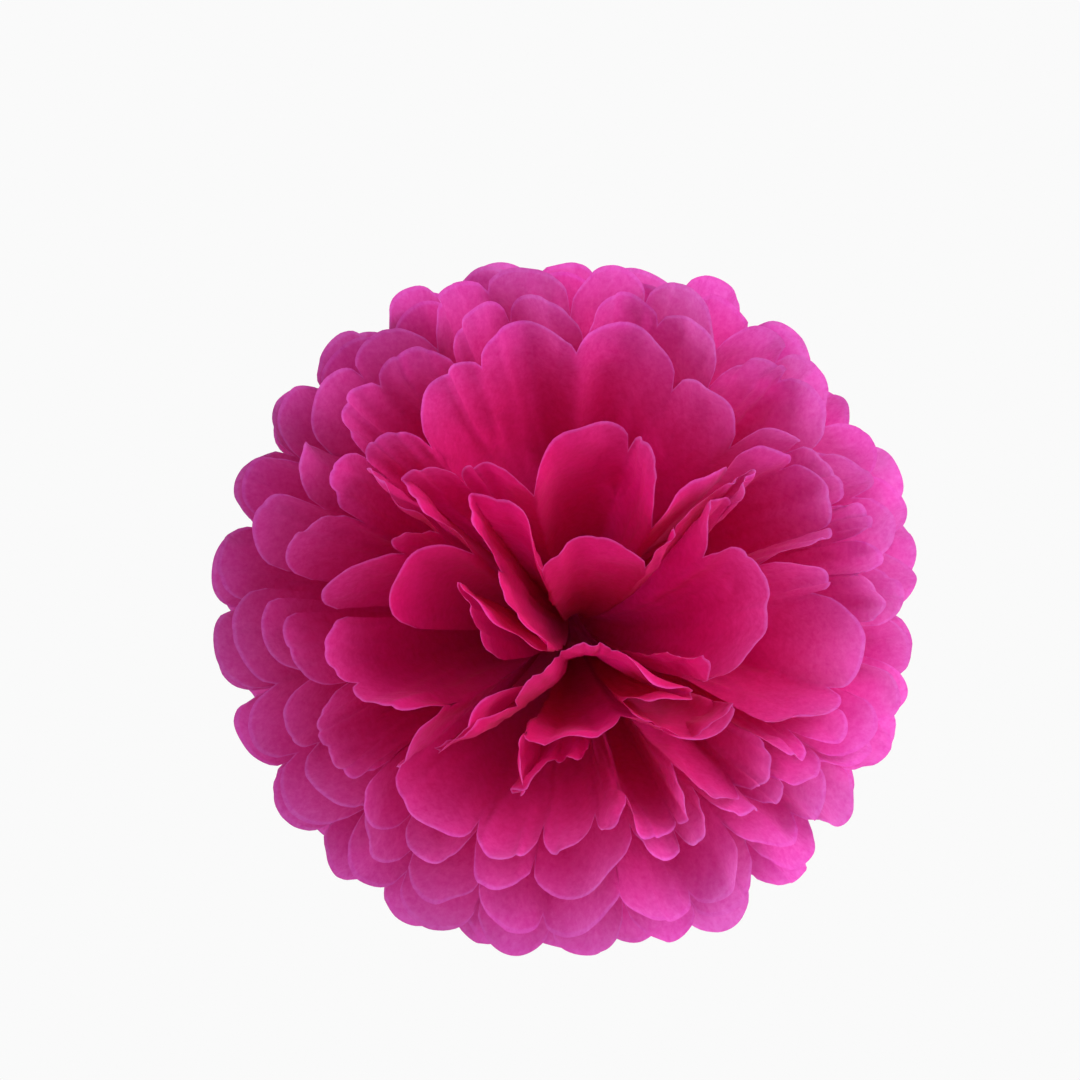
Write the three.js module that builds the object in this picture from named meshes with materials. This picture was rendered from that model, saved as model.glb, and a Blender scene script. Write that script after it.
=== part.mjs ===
// A tissue paper pom-pom: a stack of sheets pleated together, tied round the middle with wire,
// its ends cut round, and each sheet peeled away from the next until the pleats fill a ball.
// The tie is the origin. The front rosette opens towards -Y, the gathered stack lies along Z.

import * as THREE from 'three';

// Driving dimensions, in millimetres
const REACH = 125;
const SCALLOP = 17;
const PAPER_THICKNESS = 0.3;
const SHEET_GAP = 0.3;
const NECK_MARGIN = 0.1;
const NECK_LENGTH = 3;
const THROAT_REACH = 12;
const WAIST_REACH = 62;
const WIRE_DIAMETER = 1;
const WIRE_CLEARANCE = 0.3;
const TWIST_LENGTH = 8;
const TWIST_PITCH = 5;

// Facets across the widest part of a pleat, an even number
const COLUMNS = 4;
const RING_STEPS = 24;
const TWIST_STEPS = 12;

const SHEET_PITCH = PAPER_THICKNESS + SHEET_GAP;
const NOTCH = SCALLOP / REACH;

// Each half sheet is a fan of pleats. A fold is written as [azimuth, lean, notch, bow, reach].
// Azimuth turns round the front axis from +X towards +Z, and lean opens away from it, in degrees.
// Notch is the share of the scallop that the cut falls back at this fold.
// Bow, in degrees, and reach, a share of the ball's radius, belong to the pleat after the fold.
const FRONT_SHEETS = [
  {
    upper: [
      [342, 12, 1, 0, 1], [334, 22, 1, 2, 1], [5, 28, 0, 2, 1], [33, 22, 0.8, -4, 1],
      [38, 31, 0.6, 0, 1], [42, 38, 0, 0, 1], [49, 21, 1, 0, 1], [49, 14, 1, 5, 1],
      [140, 13, 1, 4, 1], [135, 30, 0, 0, 1], [144, 20, 1, 1, 1], [201, 10, 1, 0, 1],
      [161, 25, 0.3, 0, 1], [196, 19, 1, 0, 1],
    ],
    lower: [
      [209, 17, 1, 0, 1], [217, 36, 0.3, 0, 1], [221, 20, 1, 2, 1], [207, 8, 1, 0, 1],
      [302, 3, 1, 0, 1], [326, 20, 0.8, 0, 1], [290, 12, 1, 4, 1], [333, 27, 0.4, 0, 1],
      [307, 25, 0.4, 0, 1], [286, 16, 1, -2, 1], [229, 21, 0.8, 0, 1], [246, 34, 0.4, 0, 1],
      [252, 25, 1, 0, 0.9], [267, 22, 1, 2, 0.9],
    ],
  },
  {
    upper: [
      [332, 35, 1, 0, 1], [342, 52, 0.8, 0, 1], [4, 46, 1, 0, 1], [19, 33, 1, 0, 1],
      [19, 48, 0.8, 0, 1], [37, 51, 0.8, 0, 1], [49, 38, 1, 0, 1], [62, 21, 1, 0, 1],
      [77, 34, 0.8, 4, 1], [115, 27, 1, 0, 1], [133, 36, 1, 0, 1], [145, 44, 0.3, 0, 1],
      [148, 27, 1, 3, 1], [181, 35, 1, 2, 1],
    ],
    lower: [
      [178, 48, 0.6, 1, 1], [193, 46, 0.6, 0, 1], [206, 32, 1, 0, 1], [217, 45, 0.8, 2, 1],
      [242, 48, 0.8, 0, 1], [258, 44, 1, 0, 1], [271, 36, 1, 0, 1], [280, 34, 1, 3, 1],
      [294, 42, 0.8, 0, 1], [299, 30, 1, 0, 1], [314, 45, 1, 0, 1], [328, 36, 1, 0, 1],
      [332, 48, 1, 0, 1], [340, 54, 1, 2, 1],
    ],
  },
  {
    upper: [
      [357, 58, 1, 1, 1], [8, 52, 0.5, 1, 1], [15, 60, 1, 0, 1], [23, 54, 0.8, 1, 1],
      [37, 55, 1, 0, 1], [50, 46, 1, 0, 1], [69, 50, 0.9, 2, 1], [93, 51, 0.5, 2, 1],
      [114, 52, 0.5, 0, 1], [134, 46, 1, 1, 1], [147, 53, 1, 0, 1], [151, 35, 1, 1, 1],
      [161, 38, 0.8, 1, 1], [178, 52, 0.8, 1, 1],
    ],
    lower: [
      [178, 60, 0.6, 1, 1], [194, 52, 1, 0, 1], [205, 56, 0.2, 0, 1], [215, 51, 1, 1, 1],
      [228, 57, 1, 1, 1], [243, 51, 1, 1, 1], [258, 50, 1, 3, 1], [281, 40, 0.9, 1, 1],
      [293, 48, 1, 0, 1], [302, 38, 1, 0, 1], [313, 52, 1, 0, 1], [321, 44, 1, 0, 1],
      [331, 55, 1, 1, 1], [345, 63, 1, 1, 1],
    ],
  },
  {
    upper: [
      [356, 69, 1, 1, 1], [9, 60, 1, 1, 1], [22, 69, 0.8, 0, 1], [35, 60, 1, 0, 1],
      [48, 67, 0.6, 0, 1], [61, 56, 1, 1, 1], [75, 66, 0.6, 1, 1], [90, 57, 1, 1, 1],
      [104, 64, 0.8, 1, 1], [118, 57, 0.8, 1, 1], [132, 66, 0.5, 0, 1], [145, 57, 1, 0, 1],
      [158, 51, 1, 2, 1], [173, 62, 1, 1, 1],
    ],
    lower: [
      [176, 68, 0.6, 1, 1], [191, 58, 1, 1, 1], [206, 67, 0.8, 1, 1], [220, 57, 0.6, 1, 1],
      [235, 67, 1, 1, 1], [249, 57, 1, 1, 1], [263, 64, 0.6, 1, 1], [277, 54, 0.8, 1, 1],
      [291, 65, 0.6, 1, 1], [304, 54, 1, 0, 1], [317, 66, 0.7, 0, 1], [329, 57, 1, 0, 1],
      [340, 67, 1, 1, 1], [351, 71, 1, 1, 1],
    ],
  },
  {
    upper: [
      [358, 78, 1, 1, 1], [11, 71, 1, 1, 1], [24, 81, 0.8, 0, 1], [37, 70, 1, 0, 1],
      [50, 79, 0.6, 0, 1], [63, 69, 1, 0, 1], [77, 78, 0.8, 1, 1], [91, 70, 1, 1, 1],
      [105, 77, 0.5, 2, 1], [119, 69, 0.8, 1, 1], [133, 78, 0.6, 0, 1], [146, 69, 1, 0, 1],
      [158, 64, 1, 2, 1], [172, 73, 1, 1, 1],
    ],
    lower: [
      [175, 78, 0.8, 1, 1], [192, 71, 0.6, 1, 1], [207, 80, 0.8, 1, 1], [222, 70, 1, 1, 1],
      [237, 79, 0.8, 1, 1], [251, 69, 1, 1, 1], [265, 77, 0.8, 1, 1], [279, 69, 1, 1, 1],
      [293, 78, 0.6, 0, 1], [306, 69, 1, 0, 1], [319, 80, 0.8, 0, 1], [331, 70, 1, 0, 1],
      [342, 82, 1, 0, 1], [352, 82, 1, 1, 1],
    ],
  },
  {
    upper: [
      [1, 93, 1, 0, 1], [15, 82, 1, 0, 1.02], [29, 93, 0.8, 0, 0.99], [42, 82, 0.9, 0, 0.99],
      [56, 93, 0.6, 0, 0.97], [70, 82, 1, 0, 0.94], [84, 93, 0.8, 0, 0.95], [98, 82, 1, 0, 0.99],
      [111, 93, 1, 0, 0.96], [125, 82, 0.8, 0, 0.98], [139, 93, 0.7, 0, 1], [152, 82, 1, 0, 0.99],
      [166, 93, 1, 0, 1.01], [180, 82, 1, 0, 1.01],
    ],
    lower: [
      [179, 93, 1, 0, 1.01], [194, 82, 1, 0, 1.01], [208, 93, 0.8, 0, 1], [221, 82, 0.8, 0, 1],
      [235, 93, 1, 0, 1], [249, 82, 0.8, 0, 0.97], [262, 93, 0.6, 0, 0.97], [276, 82, 1, 0, 0.98],
      [290, 93, 0.8, 0, 1.02], [304, 82, 1, 0, 1.02], [318, 93, 0.8, 0, 0.96], [331, 82, 1, 0, 0.95],
      [345, 93, 1, 0, 1], [359, 82, 1, 0, 1],
    ],
  },
];

const SHEET_COUNT = 2 * FRONT_SHEETS.length;
const NECK_RADIUS = (SHEET_COUNT * SHEET_PITCH) / 2 + NECK_MARGIN;

const paper = new THREE.MeshStandardMaterial({ color: 0xc4207f, roughness: 0.9, metalness: 0 });
const wire = new THREE.MeshStandardMaterial({ color: 0xb8b8b4, roughness: 0.35, metalness: 0.9 });

// The unit direction of a fold from its azimuth and lean.
function foldDirection(azimuth, lean) {
  const around = THREE.MathUtils.degToRad(azimuth);
  const out = THREE.MathUtils.degToRad(lean);
  return new THREE.Vector3(
    Math.sin(out) * Math.cos(around),
    -Math.cos(out),
    Math.sin(out) * Math.sin(around),
  );
}

// The rays of a half sheet, from one side edge to the other, COLUMNS to a pleat: each has a
// direction and the length at which the cut ends it.
function fanRays(folds) {
  const pleats = folds.length - 1;
  const cuspReach = folds.map((fold, i) => {
    const before = folds[Math.max(i - 1, 0)][4];
    const after = folds[Math.min(i, pleats - 1)][4];
    return (before + after) / 2 - fold[2] * NOTCH;
  });
  const rays = [];
  for (let i = 0; i < pleats; i += 1) {
    const [azimuth, lean, , bow, reach] = folds[i];
    const near = foldDirection(azimuth, lean);
    const far = foldDirection(folds[i + 1][0], folds[i + 1][1]);
    const middle = near.clone().add(far).normalize();
    const side = far.clone().sub(near).cross(middle).normalize();
    const isLast = i === pleats - 1;
    for (let column = 0; column < COLUMNS + (isLast ? 1 : 0); column += 1) {
      const across = column / COLUMNS;
      const swell = THREE.MathUtils.degToRad(bow) * Math.sin(Math.PI * across);
      const round = Math.sqrt(Math.max(0, 1 - (2 * across - 1) ** 2));
      const cusp = THREE.MathUtils.lerp(cuspReach[i], cuspReach[i + 1], across);
      rays.push({
        direction: near.clone().lerp(far, across).addScaledVector(side, swell).normalize(),
        length: REACH * (cusp + (reach - cusp) * round),
      });
    }
  }
  return rays;
}

// One sheet's middle surface: the gathered band at the neck with a fan above and a fan below it.
// A fan starts at its fold ends on the neck. From the throat outwards each fold runs straight
// away from the middle of the gathered end, and a pleat has more facets towards its rim.
function sheetSurface(sheet, depth) {
  const points = [];
  const faces = [];
  const halfWidth = Math.sqrt(NECK_RADIUS ** 2 - (Math.abs(depth) + PAPER_THICKNESS / 2) ** 2);

  function addFan(folds, upward) {
    const rays = fanRays(folds);
    const pleats = folds.length - 1;
    const apex = new THREE.Vector3(0, 0, (upward * NECK_LENGTH) / 2);
    const along = (ray, reach) => (
      points.push(apex.clone().addScaledVector(ray.direction, reach)) - 1
    );
    const folded = rays.filter((ray, i) => i % COLUMNS === 0);
    const neck = folded.map((ray, i) => {
      const x = upward * halfWidth * (1 - (2 * i) / pleats);
      return points.push(new THREE.Vector3(x, depth, apex.z)) - 1;
    });
    const throat = folded.map((ray) => along(ray, THROAT_REACH));
    const waist = rays.filter((ray, i) => i % (COLUMNS / 2) === 0)
      .map((ray) => along(ray, WAIST_REACH));
    const rim = rays.map((ray) => along(ray, ray.length));

    for (let i = 0; i < pleats; i += 1) {
      faces.push([neck[i], throat[i], throat[i + 1]], [neck[i], throat[i + 1], neck[i + 1]]);
      faces.push([throat[i], waist[2 * i], waist[2 * i + 1]]);
      faces.push([throat[i], waist[2 * i + 1], throat[i + 1]]);
      faces.push([throat[i + 1], waist[2 * i + 1], waist[2 * i + 2]]);
    }
    for (let i = 0; i < 2 * pleats; i += 1) {
      const first = (i * COLUMNS) / 2;
      for (let c = first; c < first + COLUMNS / 2; c += 1) {
        faces.push([waist[c === first ? i : i + 1], rim[c], rim[c + 1]]);
      }
      faces.push([waist[i], rim[first + 1], waist[i + 1]]);
    }
    return neck;
  }

  const above = addFan(sheet.upper, 1);
  const below = addFan(sheet.lower, -1).reverse();
  for (let i = 0; i + 1 < above.length; i += 1) {
    faces.push([above[i], above[i + 1], below[i + 1]], [above[i], below[i + 1], below[i]]);
  }
  return { points, faces };
}

// A closed solid of even thickness about a middle surface.
function thicken({ points, faces }, thickness) {
  const normals = points.map(() => new THREE.Vector3());
  faces.forEach((face) => {
    const [a, b, c] = face.map((i) => points[i]);
    const normal = b.clone().sub(a).cross(c.clone().sub(a)).normalize();
    face.forEach((corner, i) => {
      const toNext = points[face[(i + 1) % 3]].clone().sub(points[corner]);
      const toLast = points[face[(i + 2) % 3]].clone().sub(points[corner]);
      normals[corner].addScaledVector(normal, toNext.angleTo(toLast));
    });
  });
  const positions = [0.5, -0.5].flatMap((side) => points.flatMap((point, i) => (
    point.clone().addScaledVector(normals[i].normalize(), side * thickness).toArray()
  )));
  const count = points.length;
  const indices = [];
  const open = new Map();
  faces.forEach(([a, b, c]) => {
    indices.push(a, b, c, c + count, b + count, a + count);
    [[a, b], [b, c], [c, a]].forEach(([from, to]) => {
      if (!open.delete(`${to},${from}`)) {
        open.set(`${from},${to}`, [from, to]);
      }
    });
  });
  open.forEach(([from, to]) => {
    indices.push(from, from + count, to + count, from, to + count, to);
  });
  const geometry = new THREE.BufferGeometry();
  geometry.setAttribute('position', new THREE.Float32BufferAttribute(positions, 3));
  geometry.setIndex(indices);
  geometry.computeVertexNormals();
  return geometry;
}

// The route of the tie: in along one strand of the twist, once round the neck, and out along
// the other strand.
function tiePath() {
  const ringRadius = NECK_RADIUS + WIRE_CLEARANCE + WIRE_DIAMETER / 2;
  const strandRadius = (WIRE_DIAMETER + WIRE_CLEARANCE) / 2;
  const strand = (phase) => Array.from({ length: TWIST_STEPS + 1 }, (_, i) => {
    const along = (TWIST_LENGTH * i) / TWIST_STEPS;
    const angle = phase + (2 * Math.PI * along) / TWIST_PITCH;
    return new THREE.Vector3(
      ringRadius + WIRE_DIAMETER + along,
      strandRadius * Math.cos(angle),
      strandRadius * Math.sin(angle),
    );
  });
  const opening = 2 * Math.asin(strandRadius / ringRadius);
  const ring = Array.from({ length: RING_STEPS + 1 }, (_, i) => {
    const angle = opening + ((2 * Math.PI - 2 * opening) * i) / RING_STEPS;
    return new THREE.Vector3(ringRadius * Math.cos(angle), ringRadius * Math.sin(angle), 0);
  });
  const points = [...strand(0).reverse(), ...ring, ...strand(Math.PI)];
  return new THREE.CatmullRomCurve3(points, false, 'centripetal');
}

function tieWire() {
  const section = new THREE.Shape();
  section.absarc(0, 0, WIRE_DIAMETER / 2, 0, 2 * Math.PI, false);
  return new THREE.ExtrudeGeometry(section, {
    steps: 2 * TWIST_STEPS + RING_STEPS,
    curveSegments: 3,
    bevelEnabled: false,
    extrudePath: tiePath(),
  });
}

const pomPom = new THREE.Group();

function addPiece(name, geometry, material) {
  const mesh = new THREE.Mesh(geometry, material);
  mesh.name = name;
  pomPom.add(mesh);
  return mesh;
}

// The back rosette is the front one turned half round the X axis.
FRONT_SHEETS.forEach((sheet, i) => {
  const depth = (i + 0.5) * SHEET_PITCH - (SHEET_COUNT * SHEET_PITCH) / 2;
  const geometry = thicken(sheetSurface(sheet, depth), PAPER_THICKNESS);
  const number = (n) => String(n).padStart(2, '0');
  addPiece(`sheet_${number(i + 1)}`, geometry, paper);
  addPiece(`sheet_${number(SHEET_COUNT - i)}`, geometry, paper).rotation.x = Math.PI;
});

addPiece('tie_wire', tieWire(), wire);

export default pomPom;
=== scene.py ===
"""The looks of the tissue paper pom-pom: every sheet as wrinkled, translucent paper."""
import math

import bpy
import numpy as np
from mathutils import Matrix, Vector


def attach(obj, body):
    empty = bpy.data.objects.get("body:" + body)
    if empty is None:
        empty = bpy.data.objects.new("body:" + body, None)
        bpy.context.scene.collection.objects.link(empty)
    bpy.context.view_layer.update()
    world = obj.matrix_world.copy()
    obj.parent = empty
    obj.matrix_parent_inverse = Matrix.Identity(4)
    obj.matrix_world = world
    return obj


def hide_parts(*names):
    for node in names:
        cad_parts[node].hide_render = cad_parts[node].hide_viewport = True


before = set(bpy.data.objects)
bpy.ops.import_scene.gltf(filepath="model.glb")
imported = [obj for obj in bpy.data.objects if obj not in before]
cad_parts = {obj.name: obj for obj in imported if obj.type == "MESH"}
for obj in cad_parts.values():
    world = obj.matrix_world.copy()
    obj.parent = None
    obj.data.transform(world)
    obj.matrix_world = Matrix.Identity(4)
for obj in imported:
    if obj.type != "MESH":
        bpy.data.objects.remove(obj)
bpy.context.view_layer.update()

# Sizes in metres, the same as the solids'
REACH = 0.125
SCALLOP = 0.017
PAPER_THICKNESS = 0.0003
SHEET_GAP = 0.0003
NECK_MARGIN = 0.0001
NECK_LENGTH = 0.003
THROAT_REACH = 0.012
SHEET_PITCH = PAPER_THICKNESS + SHEET_GAP
NOTCH = SCALLOP / REACH

# Width of the flat paper in one pleat
PLEAT_WIDTH = 0.0385

# Mesh cells across a pleat and along it, and rows of cells between the neck and the throat
ACROSS = 20
ALONG = 44
NECK_ROWS = 4

# How far a fold is rounded off, in pleats, at the tie and at the cut edge
FOLD_SHARP = 0.012
FOLD_SOFT = 0.07

# How far the paper drifts at the rim, in wide and in narrow waves, and the waves per metre
DRIFT = 0.0020
DRIFT_WAVES = 22
FINE_DRIFT = 0.0006
FINE_DRIFT_WAVES = 55

# How far the pleats sway between near and far at the cut edge, and the number of sways round
# the ball and out from the pole
SWAY = 0.0065
SWAYS_AROUND = 5.7
SWAYS_OUT = 2.3

# How far the petals round the pole belly out sideways, part way along, over the tie, and the
# leans in radians between which this fades
HEART_BEND = (0.002, 0, -0.010)
HEART_FADE = (0.35, 0.95)

# Depth of the second fold that pressing leaves in a pleat
SECOND_FOLD = 0.0025

# Depth of the creases, of the crumples and of the flutter of the cut edge, the waves of each
# per metre, and the share of the pleat's length where the flutter starts
CREASE = 0.0013
CREASE_WAVES = 85
CRUMPLE = 0.0007
CRUMPLE_WAVES = 120
FINE_CRUMPLE_WAVES = 260
FLUTTER = 0.0036
FLUTTER_WAVES = 48
FLUTTER_START = 0.6

# Folds of each half sheet: azimuth, lean, notch, bow and reach, as in the solids
FRONT_SHEETS = [
    {
        "upper": [
            (342, 12, 1, 0, 1), (334, 22, 1, 2, 1), (5, 28, 0, 2, 1), (33, 22, 0.8, -4, 1),
            (38, 31, 0.6, 0, 1), (42, 38, 0, 0, 1), (49, 21, 1, 0, 1), (49, 14, 1, 5, 1),
            (140, 13, 1, 4, 1), (135, 30, 0, 0, 1), (144, 20, 1, 1, 1), (201, 10, 1, 0, 1),
            (161, 25, 0.3, 0, 1), (196, 19, 1, 0, 1),
        ],
        "lower": [
            (209, 17, 1, 0, 1), (217, 36, 0.3, 0, 1), (221, 20, 1, 2, 1), (207, 8, 1, 0, 1),
            (302, 3, 1, 0, 1), (326, 20, 0.8, 0, 1), (290, 12, 1, 4, 1), (333, 27, 0.4, 0, 1),
            (307, 25, 0.4, 0, 1), (286, 16, 1, -2, 1), (229, 21, 0.8, 0, 1), (246, 34, 0.4, 0, 1),
            (252, 25, 1, 0, 0.9), (267, 22, 1, 2, 0.9),
        ],
    },
    {
        "upper": [
            (332, 35, 1, 0, 1), (342, 52, 0.8, 0, 1), (4, 46, 1, 0, 1), (19, 33, 1, 0, 1),
            (19, 48, 0.8, 0, 1), (37, 51, 0.8, 0, 1), (49, 38, 1, 0, 1), (62, 21, 1, 0, 1),
            (77, 34, 0.8, 4, 1), (115, 27, 1, 0, 1), (133, 36, 1, 0, 1), (145, 44, 0.3, 0, 1),
            (148, 27, 1, 3, 1), (181, 35, 1, 2, 1),
        ],
        "lower": [
            (178, 48, 0.6, 1, 1), (193, 46, 0.6, 0, 1), (206, 32, 1, 0, 1), (217, 45, 0.8, 2, 1),
            (242, 48, 0.8, 0, 1), (258, 44, 1, 0, 1), (271, 36, 1, 0, 1), (280, 34, 1, 3, 1),
            (294, 42, 0.8, 0, 1), (299, 30, 1, 0, 1), (314, 45, 1, 0, 1), (328, 36, 1, 0, 1),
            (332, 48, 1, 0, 1), (340, 54, 1, 2, 1),
        ],
    },
    {
        "upper": [
            (357, 58, 1, 1, 1), (8, 52, 0.5, 1, 1), (15, 60, 1, 0, 1), (23, 54, 0.8, 1, 1),
            (37, 55, 1, 0, 1), (50, 46, 1, 0, 1), (69, 50, 0.9, 2, 1), (93, 51, 0.5, 2, 1),
            (114, 52, 0.5, 0, 1), (134, 46, 1, 1, 1), (147, 53, 1, 0, 1), (151, 35, 1, 1, 1),
            (161, 38, 0.8, 1, 1), (178, 52, 0.8, 1, 1),
        ],
        "lower": [
            (178, 60, 0.6, 1, 1), (194, 52, 1, 0, 1), (205, 56, 0.2, 0, 1), (215, 51, 1, 1, 1),
            (228, 57, 1, 1, 1), (243, 51, 1, 1, 1), (258, 50, 1, 3, 1), (281, 40, 0.9, 1, 1),
            (293, 48, 1, 0, 1), (302, 38, 1, 0, 1), (313, 52, 1, 0, 1), (321, 44, 1, 0, 1),
            (331, 55, 1, 1, 1), (345, 63, 1, 1, 1),
        ],
    },
    {
        "upper": [
            (356, 69, 1, 1, 1), (9, 60, 1, 1, 1), (22, 69, 0.8, 0, 1), (35, 60, 1, 0, 1),
            (48, 67, 0.6, 0, 1), (61, 56, 1, 1, 1), (75, 66, 0.6, 1, 1), (90, 57, 1, 1, 1),
            (104, 64, 0.8, 1, 1), (118, 57, 0.8, 1, 1), (132, 66, 0.5, 0, 1), (145, 57, 1, 0, 1),
            (158, 51, 1, 2, 1), (173, 62, 1, 1, 1),
        ],
        "lower": [
            (176, 68, 0.6, 1, 1), (191, 58, 1, 1, 1), (206, 67, 0.8, 1, 1), (220, 57, 0.6, 1, 1),
            (235, 67, 1, 1, 1), (249, 57, 1, 1, 1), (263, 64, 0.6, 1, 1), (277, 54, 0.8, 1, 1),
            (291, 65, 0.6, 1, 1), (304, 54, 1, 0, 1), (317, 66, 0.7, 0, 1), (329, 57, 1, 0, 1),
            (340, 67, 1, 1, 1), (351, 71, 1, 1, 1),
        ],
    },
    {
        "upper": [
            (358, 78, 1, 1, 1), (11, 71, 1, 1, 1), (24, 81, 0.8, 0, 1), (37, 70, 1, 0, 1),
            (50, 79, 0.6, 0, 1), (63, 69, 1, 0, 1), (77, 78, 0.8, 1, 1), (91, 70, 1, 1, 1),
            (105, 77, 0.5, 2, 1), (119, 69, 0.8, 1, 1), (133, 78, 0.6, 0, 1), (146, 69, 1, 0, 1),
            (158, 64, 1, 2, 1), (172, 73, 1, 1, 1),
        ],
        "lower": [
            (175, 78, 0.8, 1, 1), (192, 71, 0.6, 1, 1), (207, 80, 0.8, 1, 1), (222, 70, 1, 1, 1),
            (237, 79, 0.8, 1, 1), (251, 69, 1, 1, 1), (265, 77, 0.8, 1, 1), (279, 69, 1, 1, 1),
            (293, 78, 0.6, 0, 1), (306, 69, 1, 0, 1), (319, 80, 0.8, 0, 1), (331, 70, 1, 0, 1),
            (342, 82, 1, 0, 1), (352, 82, 1, 1, 1),
        ],
    },
    {
        "upper": [
            (1, 93, 1, 0, 1), (15, 82, 1, 0, 1.02), (29, 93, 0.8, 0, 0.99), (42, 82, 0.9, 0, 0.99),
            (56, 93, 0.6, 0, 0.97), (70, 82, 1, 0, 0.94),
            (84, 93, 0.8, 0, 0.95), (98, 82, 1, 0, 0.99),
            (111, 93, 1, 0, 0.96), (125, 82, 0.8, 0, 0.98),
            (139, 93, 0.7, 0, 1), (152, 82, 1, 0, 0.99),
            (166, 93, 1, 0, 1.01), (180, 82, 1, 0, 1.01),
        ],
        "lower": [
            (179, 93, 1, 0, 1.01), (194, 82, 1, 0, 1.01),
            (208, 93, 0.8, 0, 1), (221, 82, 0.8, 0, 1),
            (235, 93, 1, 0, 1), (249, 82, 0.8, 0, 0.97),
            (262, 93, 0.6, 0, 0.97), (276, 82, 1, 0, 0.98),
            (290, 93, 0.8, 0, 1.02), (304, 82, 1, 0, 1.02),
            (318, 93, 0.8, 0, 0.96), (331, 82, 1, 0, 0.95),
            (345, 93, 1, 0, 1), (359, 82, 1, 0, 1),
        ],
    },
]

SHEET_COUNT = 2 * len(FRONT_SHEETS)
NECK_RADIUS = SHEET_COUNT * SHEET_PITCH / 2 + NECK_MARGIN

# Fixed random values on the corners of a lattice that repeats
LATTICE_SIZE = 64
LATTICE = np.random.default_rng(17).uniform(-1, 1, (LATTICE_SIZE,) * 3)


def noise(points, scale, offset=0.0):
    """Noise from -1 to 1 at each point, smooth between the lattice's corners."""
    p = points * scale + offset
    cell = np.floor(p).astype(int)
    t = p - cell
    t = t * t * t * (t * (6 * t - 15) + 10)
    total = 0
    for dx in (0, 1):
        wx = t[..., 0] if dx else 1 - t[..., 0]
        for dy in (0, 1):
            wy = t[..., 1] if dy else 1 - t[..., 1]
            for dz in (0, 1):
                wz = t[..., 2] if dz else 1 - t[..., 2]
                corner = (cell + [dx, dy, dz]) % LATTICE_SIZE
                value = LATTICE[corner[..., 0], corner[..., 1], corner[..., 2]]
                total = total + value * wx * wy * wz
    return total


def noise_vectors(points, scale, offset, step):
    """Three noises, a step apart, as the x, y and z of a vector at each point."""
    return np.stack([noise(points, scale, offset + step * k) for k in range(3)], axis=-1)


def smooth_step(x, low, high):
    t = np.clip((x - low) / (high - low), 0, 1)
    return t * t * (3 - 2 * t)


def unit(v):
    return v / np.linalg.norm(v, axis=-1, keepdims=True)


def fold_direction(azimuth, lean):
    """Azimuth turns round the front axis from +X towards +Z, and lean opens away from it."""
    around, out = math.radians(azimuth), math.radians(lean)
    return np.array([
        math.sin(out) * math.cos(around), -math.cos(out), math.sin(out) * math.sin(around)
    ])


def fan_rays(folds):
    """Each column's direction and cut length, from one side edge of the half sheet to the other."""
    pleats = len(folds) - 1
    cusp = []
    for i, fold in enumerate(folds):
        before = folds[max(i - 1, 0)][4]
        after = folds[min(i, pleats - 1)][4]
        cusp.append((before + after) / 2 - fold[2] * NOTCH)
    directions, lengths = [], []
    for i in range(pleats):
        azimuth, lean, _, bow, reach = folds[i]
        near = fold_direction(azimuth, lean)
        far = fold_direction(*folds[i + 1][:2])
        middle = unit(near + far)
        side = unit(np.cross(far - near, middle))
        is_last = i == pleats - 1
        for column in range(ACROSS + (1 if is_last else 0)):
            across = column / ACROSS
            swell = math.radians(bow) * math.sin(math.pi * across)
            round_off = math.sqrt(max(0, 1 - (2 * across - 1) ** 2))
            low = cusp[i] * (1 - across) + cusp[i + 1] * across
            directions.append(unit(near * (1 - across) + far * across + side * swell))
            lengths.append(REACH * (low + (reach - low) * round_off))
    return np.array(directions), np.array(lengths)


def smooth_rows(values, sigma):
    """Blurs an array of vectors along its first axis, with the ends held."""
    reach = max(1, int(3 * sigma))
    kernel = np.exp(-0.5 * (np.arange(-reach, reach + 1) / sigma) ** 2)
    kernel /= kernel.sum()
    padded = np.concatenate([
        2 * values[:1] - values[reach:0:-1], values, 2 * values[-1:] - values[-2:-reach - 2:-1]
    ])
    return np.stack([np.convolve(padded[:, k], kernel, "valid") for k in range(3)], axis=1)


def ball_warp(points):
    """The drift and sway of the paper and the belly of the petals round the pole, the same for
    every sheet of a rosette, so that it makes none of them cross."""
    r = np.linalg.norm(points, axis=-1, keepdims=True) / REACH
    drift = noise_vectors(points, DRIFT_WAVES, 5.3, 11.7)
    fine = noise_vectors(points, FINE_DRIFT_WAVES, 3.1, 7.9)
    aim = unit(points)
    around = np.arctan2(aim[..., 2], aim[..., 0])
    lean = np.arccos(np.clip(-aim[..., 1], -1, 1))
    place = np.stack([
        SWAYS_AROUND * np.cos(around), SWAYS_AROUND * np.sin(around), SWAYS_OUT * lean
    ], axis=-1)
    outward = np.stack([
        np.cos(lean) * np.cos(around), np.sin(lean), np.cos(lean) * np.sin(around)
    ], axis=-1)
    # No sway round the pole, where the petals stand close, and less at the equator
    room = smooth_step(lean, 0.3, 0.9) * (1 - 0.6 * smooth_step(lean, 1.2, 1.5))
    sway = (room * noise(place, 1, 21.4))[..., None] * outward
    # The belly is widest a little nearer to the tie than half way
    part = np.clip(r, 0, 1) ** 0.7
    belly = 4 * part * (1 - part) * (1 - smooth_step(lean, *HEART_FADE))[..., None]
    return (points + r ** 2 * (DRIFT * drift + FINE_DRIFT * fine + SWAY * sway)
            + belly * np.array(HEART_BEND))


def grid_normals(grid):
    along = np.gradient(grid, axis=0)
    across = np.gradient(grid, axis=1)
    n = np.cross(along, across)
    return n / np.maximum(np.linalg.norm(n, axis=-1, keepdims=True), 1e-12)


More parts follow.
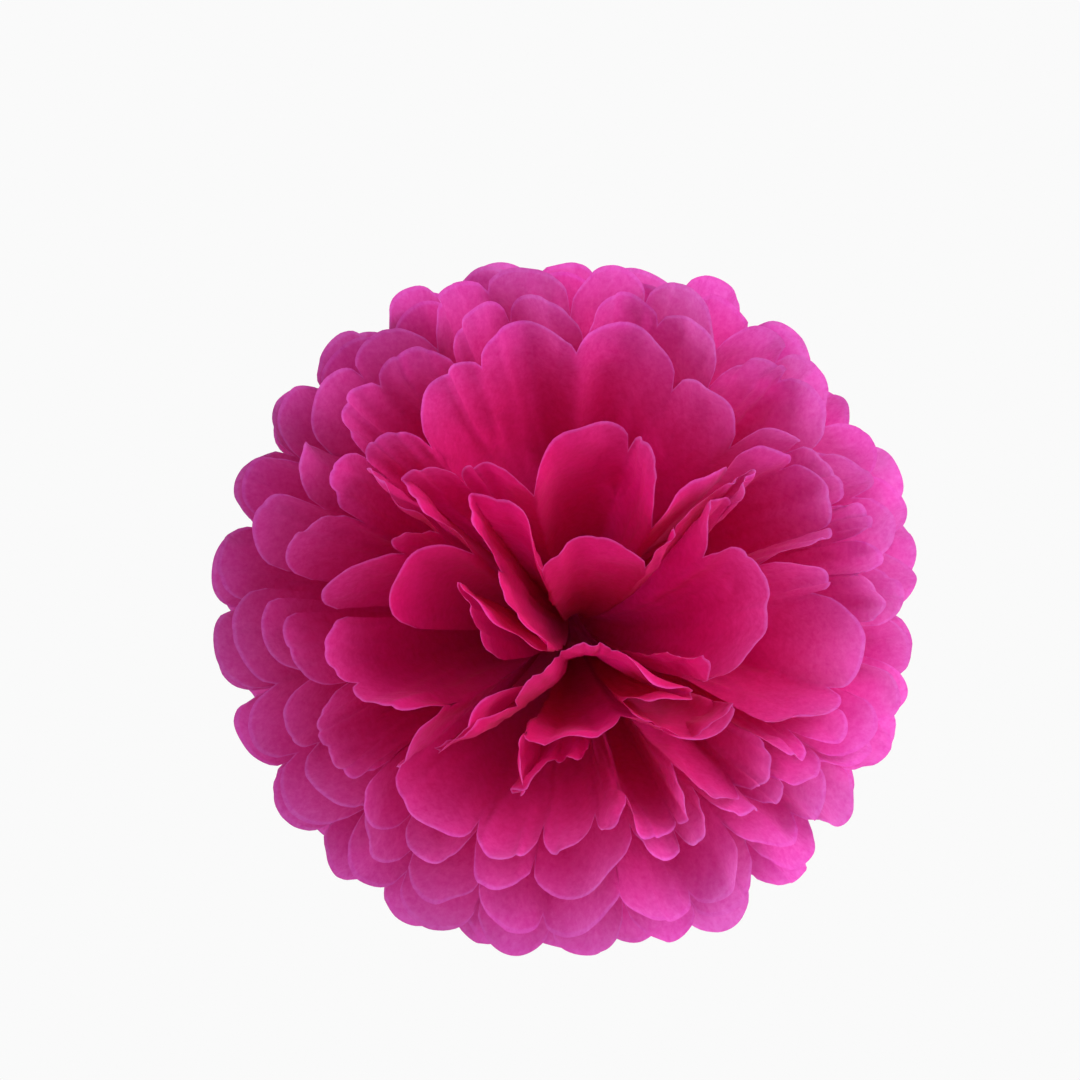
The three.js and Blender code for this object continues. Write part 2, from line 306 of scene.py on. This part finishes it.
def wrinkled(grid, flat, pleat, steps, seed):
    """The grid lifted along its normals by a second, softer fold in each pleat, creases,
    crumples and a flutter at the cut edge."""
    s = steps[:, None]
    fold = pleat.astype(int)
    count = fold[-1] + 1
    chance = np.random.default_rng(int(seed * 10))
    place = chance.uniform(0.3, 0.7, count)[fold]
    height = chance.choice([-1, 1], count) * chance.uniform(0.4, 1, count)
    across = pleat % 1
    tent = height[fold] * np.minimum(across / place, (1 - across) / (1 - place))
    shift = np.array([0, 0, seed * 3.7])
    # Creases run along the pleat, so their noise is stretched that way
    ridge = noise(flat * np.array([1, 0.2, 1]), CREASE_WAVES, shift)
    crease = 1 - 2.2 * np.abs(ridge) ** 0.7
    crumple = noise(flat, CRUMPLE_WAVES, shift + 9.1)
    crumple = crumple + 0.5 * noise(flat, FINE_CRUMPLE_WAVES, shift + 4.2)
    flutter = noise(flat, FLUTTER_WAVES, shift + 2.6)
    edge = np.clip((s - FLUTTER_START) / (1 - FLUTTER_START), 0, 1)
    lift = s * (CREASE * crease + CRUMPLE * crumple + SECOND_FOLD * s * tent)
    lift = lift + edge ** 2 * FLUTTER * flutter
    return grid + grid_normals(grid) * lift[..., None]


def fan_grid(folds, upward, depth, seed):
    """One half sheet as a grid of points, rows from the neck to the cut edge, and for each
    point how far it lies across the flat paper and from the cut edge."""
    directions, lengths = fan_rays(folds)
    pleats = len(folds) - 1
    apex = np.array([0, 0, upward * NECK_LENGTH / 2])
    pleat = np.arange(len(directions)) / ACROSS
    # Rows lie a little closer towards the cut edge
    steps = np.linspace(0, 1, ALONG + 1) ** 0.8
    rows, flat, to_edge = [], [], []
    for s in steps:
        sigma = ACROSS * (FOLD_SHARP + (FOLD_SOFT - FOLD_SHARP) * s ** 2)
        softened = unit(smooth_rows(directions, sigma))
        length = THROAT_REACH + (lengths - THROAT_REACH) * s
        rows.append(apex + softened * length[:, None])
        flat.append(np.stack([pleat * PLEAT_WIDTH, length, 0 * length], axis=1))
        to_edge.append(lengths - length)
    grid = wrinkled(ball_warp(np.array(rows)), np.array(flat), pleat, steps, seed)

    half_width = math.sqrt(NECK_RADIUS ** 2 - (abs(depth) + PAPER_THICKNESS / 2) ** 2)
    x = upward * half_width * (1 - 2 * pleat / pleats)
    neck = np.stack([x, 0 * x + depth, 0 * x + apex[2]], axis=1)
    inner = [neck + (grid[0] - neck) * (k / NECK_ROWS) for k in range(NECK_ROWS)]
    to_edge = np.array([to_edge[0]] * NECK_ROWS + to_edge)
    across = np.broadcast_to(pleat * PLEAT_WIDTH, to_edge.shape)
    return np.concatenate([inner, grid]), np.stack([across, to_edge], axis=-1)


def grid_faces(rows, columns, first):
    a = first + np.arange(rows - 1)[:, None] * columns + np.arange(columns - 1)[None, :]
    return np.stack([a, a + columns, a + columns + 1, a + 1], axis=-1).reshape(-1, 4)


def sheet_mesh(name, sheet, depth, seed, turned):
    """A whole sheet, its two fans joined through the neck."""
    upper, upper_flat = fan_grid(sheet["upper"], 1, depth, seed)
    lower, lower_flat = fan_grid(sheet["lower"], -1, depth, seed + 0.5)
    rows, columns = upper.shape[:2]
    points = np.concatenate([upper.reshape(-1, 3), lower.reshape(-1, 3)])
    flat = np.concatenate([upper_flat.reshape(-1, 2), lower_flat.reshape(-1, 2)])
    first_lower = rows * columns
    top = np.arange(columns)
    bottom = first_lower + top[::-1]
    faces = np.concatenate([
        grid_faces(rows, columns, 0),
        grid_faces(rows, columns, first_lower),
        np.stack([top[:-1], top[1:], bottom[1:], bottom[:-1]], axis=-1),
    ])
    if turned:
        points = points * [1, -1, -1]
    mesh = bpy.data.meshes.new(name)
    mesh.from_pydata(points.tolist(), [], faces.tolist())
    layer = mesh.uv_layers.new(name="paper")
    layer.data.foreach_set("uv", flat[faces.reshape(-1)].astype(np.float32).ravel())
    mesh.shade_smooth()
    mesh.update()
    piece = bpy.data.objects.new(name, mesh)
    bpy.context.scene.collection.objects.link(piece)
    return piece


def add_node(tree, kind, inputs=None, **settings):
    """A node with its settings; each input is given a value or the socket that feeds it."""
    node = tree.nodes.new(kind)
    for name, value in settings.items():
        setattr(node, name, value)
    for key, value in (inputs or {}).items():
        if isinstance(value, bpy.types.NodeSocket):
            tree.links.new(value, node.inputs[key])
        else:
            node.inputs[key].default_value = value
    return node


def new_material(name):
    material = bpy.data.materials.new(name)
    material.use_nodes = True
    material.node_tree.nodes.clear()
    return material


# Colours of the paper where its fibres lie thin and where they lie thick, for light thrown back
# and for light passing through: a darker copy with painted shade, deep in the ball, and a lighter,
# more violet copy with painted light, at its outside
FIBRES_FROM = 0.35
REFLECTED_PAINTED_SHADE = ((0.58, 0.002, 0.110), (0.70, 0.005, 0.175))
REFLECTED_PAINTED_LIGHT = ((0.64, 0.026, 0.360), (0.74, 0.092, 0.530))
THROUGH_PAINTED_SHADE = ((0.80, 0.004, 0.180), (0.90, 0.010, 0.280))
THROUGH_PAINTED_LIGHT = ((0.84, 0.140, 0.660), (0.92, 0.290, 0.830))

# Distances from the middle, and from the front axis, over which painted light turns the paper
# lighter. The second is measured from a line shifted to the left, so that the right side gets more
# of the painted light.
PAINTED_LIGHT_OUT = (0.080, 0.127)
PAINTED_LIGHT_ASIDE = (0.052, 0.124)
PAINTED_LIGHT_SHIFT = (0.016, 0, -0.005)

# A painted highlight: the cut edge, with no paper behind it, is drawn as a thin lighter line
PAINTED_HIGHLIGHT_WIDTH = 0.0022
PAINTED_HIGHLIGHT_SHARE = 0.55


def paper_material():
    """Magenta tissue: cloudy fibres, light passing through it and a soft matte surface, with
    painted shade deep in the ball and painted light at its outside, more on the right, and along
    the cut edge.
    """
    material = new_material("tissue_paper_looks")
    tree = material.node_tree
    position = add_node(tree, "ShaderNodeTexCoord").outputs["Object"]
    cloud = add_node(tree, "ShaderNodeTexNoise", {
        "Vector": position, "Scale": 420, "Detail": 3, "Roughness": 0.6,
    })
    fibre = add_node(tree, "ShaderNodeTexNoise", {"Vector": position, "Scale": 900, "Detail": 3})
    texture = add_node(tree, "ShaderNodeMath", {
        0: fibre.outputs["Fac"], 1: 0.4, 2: cloud.outputs["Fac"],
    }, operation="MULTIPLY_ADD").outputs[0]

    def growing(keep, shift, low, high):
        """From 0 to 1 as the distance along the kept axes, from a shifted middle, goes from low
        to high."""
        kept = add_node(tree, "ShaderNodeVectorMath", {0: position, 1: keep, 2: shift},
                        operation="MULTIPLY_ADD")
        distance = add_node(tree, "ShaderNodeVectorMath", {0: kept.outputs[0]},
                            operation="LENGTH")
        return add_node(tree, "ShaderNodeMapRange", {
            "Value": distance.outputs["Value"], "From Min": low, "From Max": high,
        }).outputs["Result"]

    # Painted shade deep in the ball, fading to painted light at its outside and more on its right
    # side
    painted_light_outside = add_node(tree, "ShaderNodeMath", {
        0: growing((1, 1, 1), (0, 0, 0), *PAINTED_LIGHT_OUT),
        1: growing((1, 0, 1), PAINTED_LIGHT_SHIFT, *PAINTED_LIGHT_ASIDE),
    }, operation="MULTIPLY")
    # The painted highlight along the cut edge, from each point's distance to it on the flat paper
    flat = add_node(tree, "ShaderNodeUVMap", uv_map="paper")
    split = add_node(tree, "ShaderNodeSeparateXYZ", {0: flat.outputs["UV"]})
    edge = add_node(tree, "ShaderNodeMapRange", {
        "Value": split.outputs["Y"], "From Min": PAINTED_HIGHLIGHT_WIDTH, "From Max": 0,
        "To Max": PAINTED_HIGHLIGHT_SHARE,
    }, interpolation_type="SMOOTHSTEP")
    # How much painted light each point gets, from the outside of the ball and from the cut edge
    painted_light_share = add_node(tree, "ShaderNodeMath", {
        0: painted_light_outside.outputs["Value"], 1: edge.outputs["Result"],
    }, operation="ADD", use_clamp=True).outputs["Value"]

    def coloured(thin, thick):
        ramp = add_node(tree, "ShaderNodeValToRGB", {"Fac": texture})
        for stop, place, colour in zip(ramp.color_ramp.elements, (FIBRES_FROM, 1), (thin, thick)):
            stop.position = place
            stop.color = (*colour, 1)
        return ramp.outputs["Color"]

    # The paper's colour, its copy with painted shade mixed with its copy with painted light
    def with_painted_shade_and_light(deep, pale):
        return add_node(tree, "ShaderNodeMix", {
            "Factor": painted_light_share, "A": coloured(*deep), "B": coloured(*pale),
        }, data_type="RGBA").outputs["Result"]

    bump = add_node(tree, "ShaderNodeBump", {
        "Height": texture, "Strength": 0.25, "Distance": 0.0004,
    }).outputs["Normal"]
    surface = add_node(tree, "ShaderNodeBsdfPrincipled", {
        "Base Color": with_painted_shade_and_light(REFLECTED_PAINTED_SHADE, REFLECTED_PAINTED_LIGHT), "Roughness": 0.85,
        "Specular IOR Level": 0.15, "Sheen Weight": 0.05, "Sheen Roughness": 0.5,
        "Sheen Tint": (1, 0.7, 0.95, 1), "Normal": bump,
    })
    translucent = add_node(tree, "ShaderNodeBsdfTranslucent", {
        "Color": with_painted_shade_and_light(THROUGH_PAINTED_SHADE, THROUGH_PAINTED_LIGHT), "Normal": bump,
    })
    shader = add_node(tree, "ShaderNodeMixShader", {
        "Fac": 0.35, 1: surface.outputs[0], 2: translucent.outputs[0],
    })
    add_node(tree, "ShaderNodeOutputMaterial", {"Surface": shader.outputs[0]})
    return material


def wire_material():
    """Drawn steel, a little uneven in its shine."""
    material = new_material("tie_wire_looks")
    tree = material.node_tree
    position = add_node(tree, "ShaderNodeTexCoord").outputs["Object"]
    drawn = add_node(tree, "ShaderNodeTexNoise", {"Vector": position, "Scale": 1500})
    roughness = add_node(tree, "ShaderNodeMapRange", {
        "Value": drawn.outputs["Fac"], "To Min": 0.28, "To Max": 0.5,
    })
    steel = add_node(tree, "ShaderNodeBsdfPrincipled", {
        "Base Color": (0.55, 0.54, 0.52, 1), "Metallic": 1,
        "Roughness": roughness.outputs["Result"],
    })
    add_node(tree, "ShaderNodeOutputMaterial", {"Surface": steel.outputs[0]})
    return material


PAPER = paper_material()
WIRE = wire_material()

for index, sheet in enumerate(FRONT_SHEETS):
    depth = (index + 0.5) * SHEET_PITCH - SHEET_COUNT * SHEET_PITCH / 2
    for number, turned in ((index + 1, False), (SHEET_COUNT - index, True)):
        piece = sheet_mesh(f"paper_{number:02d}", sheet, depth, number, turned)
        piece.data.materials.append(PAPER)
        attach(piece, "root")
        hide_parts(f"sheet_{number:02d}")

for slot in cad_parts["tie_wire"].material_slots:
    slot.material = WIRE

# The room: its size and depth in metres, and how bright the camera sees it
FLOOR_SIZE = 6
FLOOR_HEIGHT = -0.6
FLOOR_PAINT = (0.85, 0.85, 0.85, 1)
FLOOR_GLOW = (0.974, 0.974, 0.974, 1)
FLOOR_GLOW_SHARE = 0.96
BACKGROUND = (0.956, 0.956, 0.956, 1)
AMBIENT_LEVEL = 0.5


def floor_material():
    """A pale surface that keeps a trace of the shadows and looks plain white to the camera."""
    material = new_material("floor_paint")
    tree = material.node_tree
    path = add_node(tree, "ShaderNodeLightPath")
    share = add_node(tree, "ShaderNodeMath", {
        0: path.outputs["Is Camera Ray"], 1: FLOOR_GLOW_SHARE,
    }, operation="MULTIPLY")
    diffuse = add_node(tree, "ShaderNodeBsdfDiffuse", {"Color": FLOOR_PAINT})
    glow = add_node(tree, "ShaderNodeEmission", {"Color": FLOOR_GLOW, "Strength": 1})
    shader = add_node(tree, "ShaderNodeMixShader", {
        "Fac": share.outputs[0], 1: diffuse.outputs[0], 2: glow.outputs[0],
    })
    add_node(tree, "ShaderNodeOutputMaterial", {"Surface": shader.outputs[0]})
    return material


def light_world():
    """The background for the camera and for reflections, and a plain ambient light for the rest."""
    world = bpy.context.scene.world or bpy.data.worlds.new("World")
    bpy.context.scene.world = world
    world.use_nodes = True
    tree = world.node_tree
    tree.nodes.clear()
    path = add_node(tree, "ShaderNodeLightPath")
    seen = add_node(tree, "ShaderNodeMath", {
        0: path.outputs["Is Camera Ray"], 1: path.outputs["Is Glossy Ray"],
    }, operation="MAXIMUM")
    ambient = add_node(tree, "ShaderNodeBackground", {
        "Color": (1, 1, 1, 1), "Strength": AMBIENT_LEVEL,
    })
    shown = add_node(tree, "ShaderNodeBackground", {"Color": BACKGROUND, "Strength": 1})
    shader = add_node(tree, "ShaderNodeMixShader", {
        "Fac": seen.outputs[0], 1: ambient.outputs[0], 2: shown.outputs[0],
    })
    add_node(tree, "ShaderNodeOutputWorld", {"Surface": shader.outputs[0]})


def lamp(name, place, size, power):
    """A round lamp aimed at the middle of the ball."""
    data = bpy.data.lights.new(name, "AREA")
    data.shape = "DISK"
    data.size = size
    data.energy = power
    light = bpy.data.objects.new(name, data)
    light.location = place
    light.rotation_euler = (-Vector(place)).to_track_quat("-Z", "Y").to_euler()
    bpy.context.scene.collection.objects.link(light)


bpy.ops.mesh.primitive_plane_add(size=FLOOR_SIZE, location=(0, 0, FLOOR_HEIGHT))
floor = bpy.context.object
floor.name = "floor"
floor.data.materials.append(floor_material())

light_world()
lamp("key", place=(1.5, -1.35, 1.0), size=1.5, power=47)
lamp("low", place=(1.5, -0.9, -0.9), size=1.3, power=20)
lamp("behind", place=(1.3, 1.3, 0.2), size=1.3, power=26)
lamp("fill", place=(-1.6, -0.8, 0.2), size=1.0, power=5)

# The camera looks along the photograph's line, a little from the left and from above
AZIMUTH, ELEVATION, DISTANCE = math.radians(-5.2), math.radians(3.1), 2.5
SENSOR_WIDTH = 36

# The photograph's width, the pixel of the ball's middle and the scale
IMAGE_SIZE = 1080
MIDDLE_PIXEL = (568, 606)
PIXELS_PER_METRE = 2800

camera_data = bpy.data.cameras.new("camera")
camera_data.sensor_width = SENSOR_WIDTH
camera_data.lens = SENSOR_WIDTH * DISTANCE * PIXELS_PER_METRE / IMAGE_SIZE
camera_data.shift_x = (IMAGE_SIZE / 2 - MIDDLE_PIXEL[0]) / IMAGE_SIZE
camera_data.shift_y = (MIDDLE_PIXEL[1] - IMAGE_SIZE / 2) / IMAGE_SIZE
camera = bpy.data.objects.new("camera", camera_data)
camera.location = DISTANCE * Vector((
    math.cos(ELEVATION) * math.sin(AZIMUTH),
    -math.cos(ELEVATION) * math.cos(AZIMUTH),
    math.sin(ELEVATION),
))
camera.rotation_euler = (-camera.location).to_track_quat("-Z", "Y").to_euler()
bpy.context.scene.collection.objects.link(camera)
bpy.context.scene.camera = camera
bpy.context.scene.view_settings.view_transform = "Standard"
